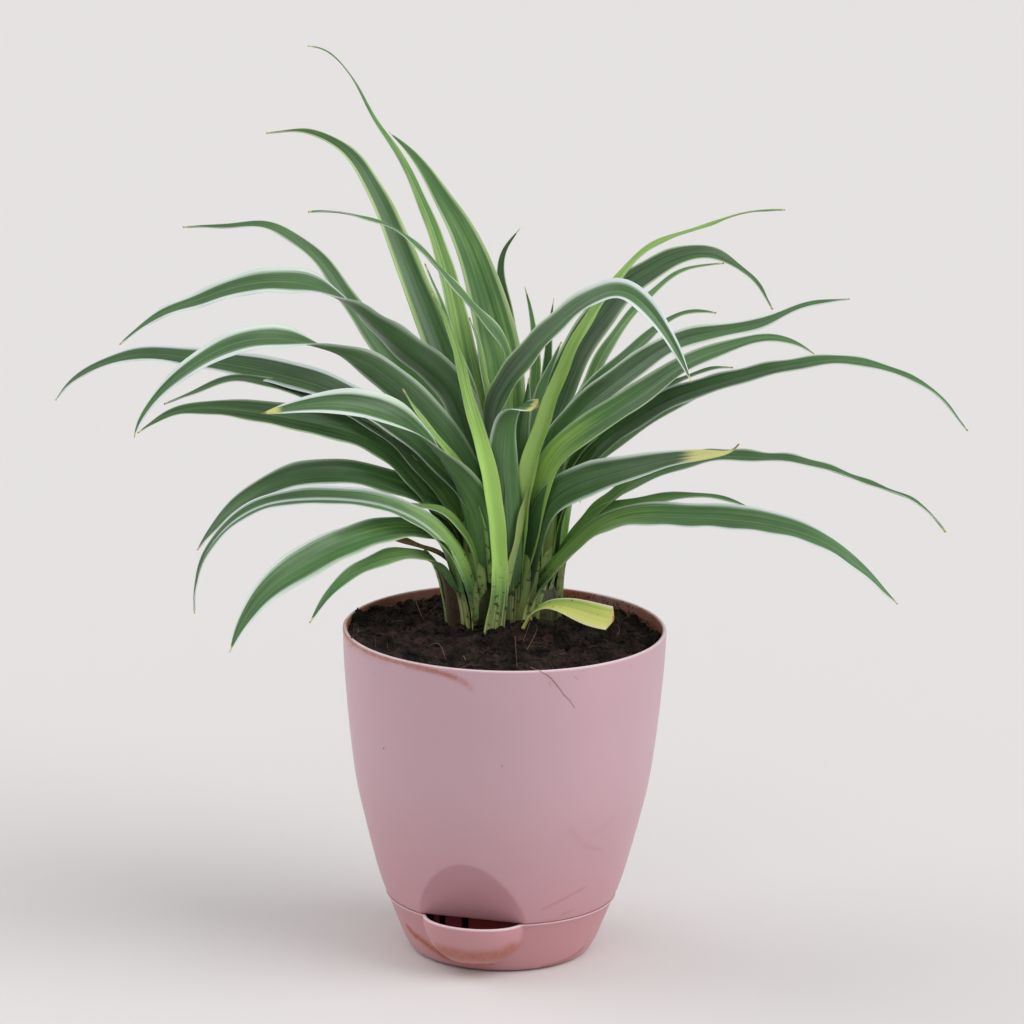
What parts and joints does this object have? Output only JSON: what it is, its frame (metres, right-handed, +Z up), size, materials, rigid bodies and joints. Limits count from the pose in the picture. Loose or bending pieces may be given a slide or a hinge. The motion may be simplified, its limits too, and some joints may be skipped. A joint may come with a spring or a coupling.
{
  "type": "potted spider plant",
  "caption": "Variegated strap-leaved house plant in soil, in a round tapered planter over a water tray with a half-bowl filling lip.",
  "frame": {"origin": "centre of the water tray's flat foot, on the surface it stands on", "axes": "+Z up, +X to the right seen from the front, -Y towards the front, where the filling mouth sits a little left of centre"},
  "size_m": [0.365, 0.2054, 0.3617],
  "materials": {
    "pot": "satin moulded polypropylene, dusty pink, soil-stained under the rim",
    "tray": "satin moulded polypropylene, dusty pink",
    "soil": "damp coco peat, crumbly and matte",
    "crown": "pale green leaf bases with brown specks",
    "leaf": "satin green blade with cream margins and fine lengthwise veins",
    "dried": "dry brown leaf",
    "yellowed": "yellow-green cut leaf"
  },
  "bodies": {
    "root": {"planter_pot": "pot", "water_tray": "tray", "potting_soil": "soil", "crown_left": "crown", "crown_right": "crown", "leaf_left_01": "leaf", "leaf_left_02": "leaf", "leaf_left_03": "leaf", "leaf_left_04": "leaf", "leaf_left_05": "leaf", "leaf_left_06": "leaf", "leaf_left_07": "leaf", "leaf_left_08": "leaf", "leaf_left_09": "leaf", "leaf_left_10": "leaf", "leaf_left_11": "leaf", "leaf_left_12": "leaf", "leaf_left_13": "leaf", "dried_leaf": "dried", "leaf_top_01": "leaf", "leaf_top_02": "leaf", "leaf_top_03": "leaf", "leaf_top_04": "leaf", "leaf_top_05": "leaf", "leaf_top_06": "leaf", "leaf_front_01": "leaf", "leaf_back_01": "leaf", "leaf_back_02": "leaf", "leaf_back_03": "leaf", "leaf_back_04": "leaf", "leaf_centre_01": "leaf", "leaf_centre_02": "leaf", "leaf_centre_03": "leaf", "leaf_centre_04": "leaf", "leaf_right_01": "leaf", "leaf_right_02": "leaf", "leaf_right_03": "leaf", "leaf_right_04": "leaf", "leaf_right_05": "leaf", "leaf_right_06": "leaf", "leaf_right_07": "leaf", "leaf_right_08": "leaf", "leaf_right_09": "leaf", "leaf_right_10": "leaf", "leaf_right_11": "leaf", "leaf_right_12": "leaf", "leaf_right_13": "leaf", "leaf_rear_01": "leaf", "leaf_rear_02": "leaf", "leaf_rear_03": "leaf", "leaf_rear_04": "leaf", "leaf_rear_05": "leaf", "leaf_rear_06": "leaf", "yellow_leaf": "yellowed"}
  },
  "joints": []
}
